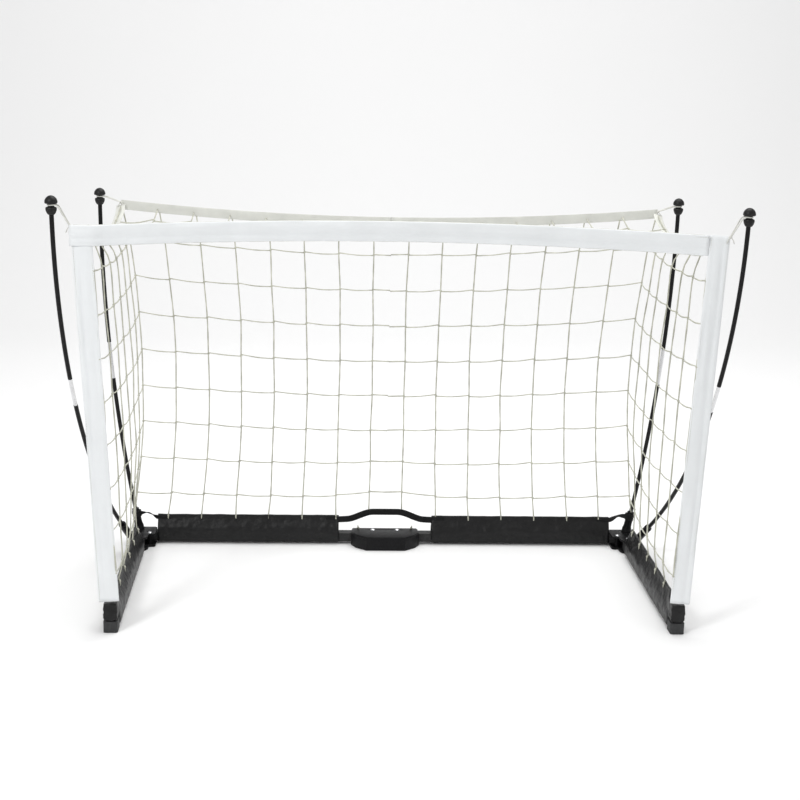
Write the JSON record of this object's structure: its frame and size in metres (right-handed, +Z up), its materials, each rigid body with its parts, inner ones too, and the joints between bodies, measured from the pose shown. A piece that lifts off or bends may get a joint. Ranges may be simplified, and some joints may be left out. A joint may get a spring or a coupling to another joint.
{
  "type": "pop up goal",
  "caption": "Portable goal: a folding tube base, bent poles in corner sockets, and a net with fabric posts and crossbar hung from the pole caps.",
  "frame": {"origin": "on the ground, under the centre hub, on the line of the rear tubes' pivots", "axes": "+X to the goal's side along the rear tubes, -Y out of the goal's mouth, +Z up"},
  "size_m": [1.6426, 0.708, 1.0199],
  "materials": {
    "hub_plastic": "moulded black plastic",
    "bolt_steel": "bright zinc",
    "nut_steel": "plated",
    "base_tube": "black powder coat",
    "black_nylon": "coated nylon",
    "webbing": "woven webbing",
    "net_string": "twisted polyethylene string",
    "net_band": "white binding tape",
    "white_nylon": "coated white nylon",
    "pole_fibreglass": "pultruded fibreglass",
    "pole_ferrule": "bright drawn steel",
    "cap_rubber": "moulded",
    "foot_grey": "textured grey",
    "elastic": "braided elastic cord"
  },
  "bodies": {
    "centre_hub": {"hub_base": "hub_plastic", "hub_cover": "hub_plastic", "hub_bolts": "bolt_steel", "hub_nuts": "nut_steel", "carry_strap": "webbing"},
    "rear_left": {"rear_bar_left": "base_tube", "corner_base_left": "hub_plastic", "corner_cover_left": "hub_plastic", "corner_bolts_left": "bolt_steel", "rear_socket_left": "hub_plastic", "rear_sleeve_left": "black_nylon", "rear_net_left": "net_string", "rear_band_left": "net_band", "base_strap_left": "webbing", "rear_loop_left": "elastic"},
    "leg_left": {"side_bar_left": "base_tube", "foot_cap_left": "foot_grey", "side_sleeve_left": "black_nylon", "front_socket_left": "hub_plastic", "side_net_left": "net_string", "side_band_left": "net_band", "front_post_left": "white_nylon", "front_loop_left": "elastic"},
    "front_pole_left": {"front_pole_lower_left": "pole_fibreglass", "front_ferrule_left": "pole_ferrule", "front_pole_upper_left": "pole_fibreglass", "front_cap_left": "cap_rubber"},
    "rear_pole_left": {"rear_pole_lower_left": "pole_fibreglass", "rear_ferrule_left": "pole_ferrule", "rear_pole_upper_left": "pole_fibreglass", "rear_cap_left": "cap_rubber"},
    "rear_right": {"rear_bar_right": "base_tube", "corner_base_right": "hub_plastic", "corner_cover_right": "hub_plastic", "corner_bolts_right": "bolt_steel", "rear_socket_right": "hub_plastic", "rear_sleeve_right": "black_nylon", "rear_net_right": "net_string", "rear_band_right": "net_band", "base_strap_right": "webbing", "rear_loop_right": "elastic"},
    "leg_right": {"side_bar_right": "base_tube", "foot_cap_right": "foot_grey", "side_sleeve_right": "black_nylon", "front_socket_right": "hub_plastic", "side_net_right": "net_string", "side_band_right": "net_band", "front_post_right": "white_nylon", "front_loop_right": "elastic"},
    "front_pole_right": {"front_pole_lower_right": "pole_fibreglass", "front_ferrule_right": "pole_ferrule", "front_pole_upper_right": "pole_fibreglass", "front_cap_right": "cap_rubber"},
    "rear_pole_right": {"rear_pole_lower_right": "pole_fibreglass", "rear_ferrule_right": "pole_ferrule", "rear_pole_upper_right": "pole_fibreglass", "rear_cap_right": "cap_rubber"},
    "mouth_top": {"crossbar": "white_nylon", "roof_net": "net_string"}
  },
  "joints": [
    {"name": "rear_fold_left", "type": "hinge", "parent": "centre_hub", "child": "rear_left", "pos_m": [-0.034, 0, 0], "axis": [0, 0, -1], "range_deg": [0, 90], "deforming": ["carry_strap", "crossbar", "roof_net"]},
    {"name": "rear_fold_right", "type": "hinge", "parent": "centre_hub", "child": "rear_right", "pos_m": [0.034, 0, 0], "axis": [0, 0, 1], "range_deg": [0, 90]},
    {"name": "leg_fold_left", "type": "hinge", "parent": "rear_left", "child": "leg_left", "pos_m": [-0.678, -0.066, 0], "axis": [0, 0, 1], "range_deg": [0, 90]},
    {"name": "leg_fold_right", "type": "hinge", "parent": "rear_right", "child": "leg_right", "pos_m": [0.678, -0.066, 0], "axis": [0, 0, -1], "range_deg": [0, 90]},
    {"name": "crossbar_carry", "type": "slide", "parent": "centre_hub", "child": "mouth_top", "axis": [0, 1, 0], "range_m": [0, 0.71]},
    {"name": "front_pole_slide_left", "type": "slide", "parent": "leg_left", "child": "front_pole_left", "axis": [-0.1583, -0.7609, 0.6293], "range_m": [0, 0.06], "deforming": ["front_loop_left"]},
    {"name": "rear_pole_slide_left", "type": "slide", "parent": "rear_left", "child": "rear_pole_left", "axis": [-0.1805, 0, 0.9836], "range_m": [0, 0.06], "deforming": ["rear_loop_left"]},
    {"name": "front_pole_slide_right", "type": "slide", "parent": "leg_right", "child": "front_pole_right", "axis": [0.1583, -0.7609, 0.6293], "range_m": [0, 0.06], "deforming": ["front_loop_right"]},
    {"name": "rear_pole_slide_right", "type": "slide", "parent": "rear_right", "child": "rear_pole_right", "axis": [0.1805, 0, 0.9836], "range_m": [0, 0.06], "deforming": ["rear_loop_right"]}
  ],
  "couplings": [
    {"joint": "rear_fold_right", "follows": "rear_fold_left", "ratio": 1},
    {"joint": "leg_fold_left", "follows": "rear_fold_left", "ratio": 1},
    {"joint": "leg_fold_right", "follows": "rear_fold_left", "ratio": 1},
    {"joint": "crossbar_carry", "follows": "rear_fold_left", "m_per_rad": 0.452}
  ]
}
